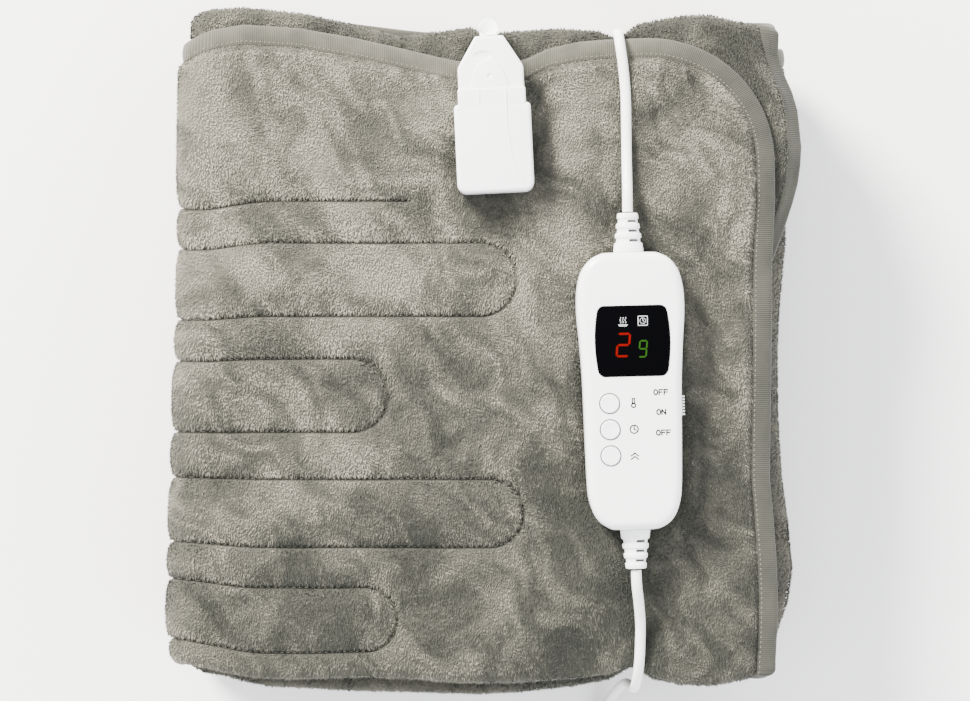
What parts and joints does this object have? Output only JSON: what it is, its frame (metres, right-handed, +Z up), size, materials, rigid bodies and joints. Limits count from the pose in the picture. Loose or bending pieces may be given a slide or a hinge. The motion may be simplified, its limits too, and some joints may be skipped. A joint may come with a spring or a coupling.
{
  "type": "electric heated blanket",
  "caption": "Folded plush heated blanket with stitched heating channels, taped edge, plug-in lead and hand controller with display.",
  "frame": {"origin": "middle of the folded stack on the surface that it lies on", "axes": "+Z up through the stack, +Y towards the connector's edge, +X towards the taped ends of the cloth"},
  "size_m": [0.3082, 0.4315, 0.1211],
  "materials": {
    "plush": "short crushed plush pile, taupe grey",
    "tape": "fine ribbed knit tape",
    "white_plastic": "smooth semi-gloss",
    "socket_plastic": "smooth semi-gloss",
    "button_plastic": "satin",
    "slider_plastic": "satin",
    "soft_plastic": "soft satin",
    "dark_window": "high gloss",
    "cord_jacket": "soft satin",
    "cord_tie": "matt",
    "plated_pin": "plated, satin"
  },
  "bodies": {
    "folded_blanket": {"blanket": "plush", "binding": "tape", "controller_top": "white_plastic", "controller_base": "white_plastic", "display_window": "dark_window", "relief_top": "soft_plastic", "relief_bottom": "soft_plastic", "connector_socket": "socket_plastic", "connector_plug": "white_plastic", "connector_boot": "soft_plastic", "lead_link": "cord_jacket", "lead_mains": "cord_jacket", "lead_coil": "cord_jacket", "coil_tie": "cord_tie", "lead_tail": "cord_jacket", "mains_plug": "soft_plastic", "mains_pin_left": "plated_pin", "mains_pin_right": "plated_pin"},
    "temperature_button": {"button_temp": "button_plastic"},
    "timer_button": {"button_time": "button_plastic"},
    "boost_button": {"button_high": "button_plastic"},
    "power_switch": {"power_slider": "slider_plastic"}
  },
  "joints": [
    {"name": "temperature_press", "type": "slide", "parent": "folded_blanket", "child": "temperature_button", "axis": [0, 0, -1], "range_m": [0, 0.0006], "stiffness_N_per_m": 600, "springref_m": -0.0015},
    {"name": "timer_press", "type": "slide", "parent": "folded_blanket", "child": "timer_button", "axis": [0, 0, -1], "range_m": [0, 0.0006], "stiffness_N_per_m": 600, "springref_m": -0.0015},
    {"name": "boost_press", "type": "slide", "parent": "folded_blanket", "child": "boost_button", "axis": [0, 0, -1], "range_m": [0, 0.0006], "stiffness_N_per_m": 600, "springref_m": -0.0015},
    {"name": "power_slide", "type": "slide", "parent": "folded_blanket", "child": "power_switch", "axis": [-0.0244, 0.9997, 0], "range_m": [-0.0075, 0.0025]}
  ]
}
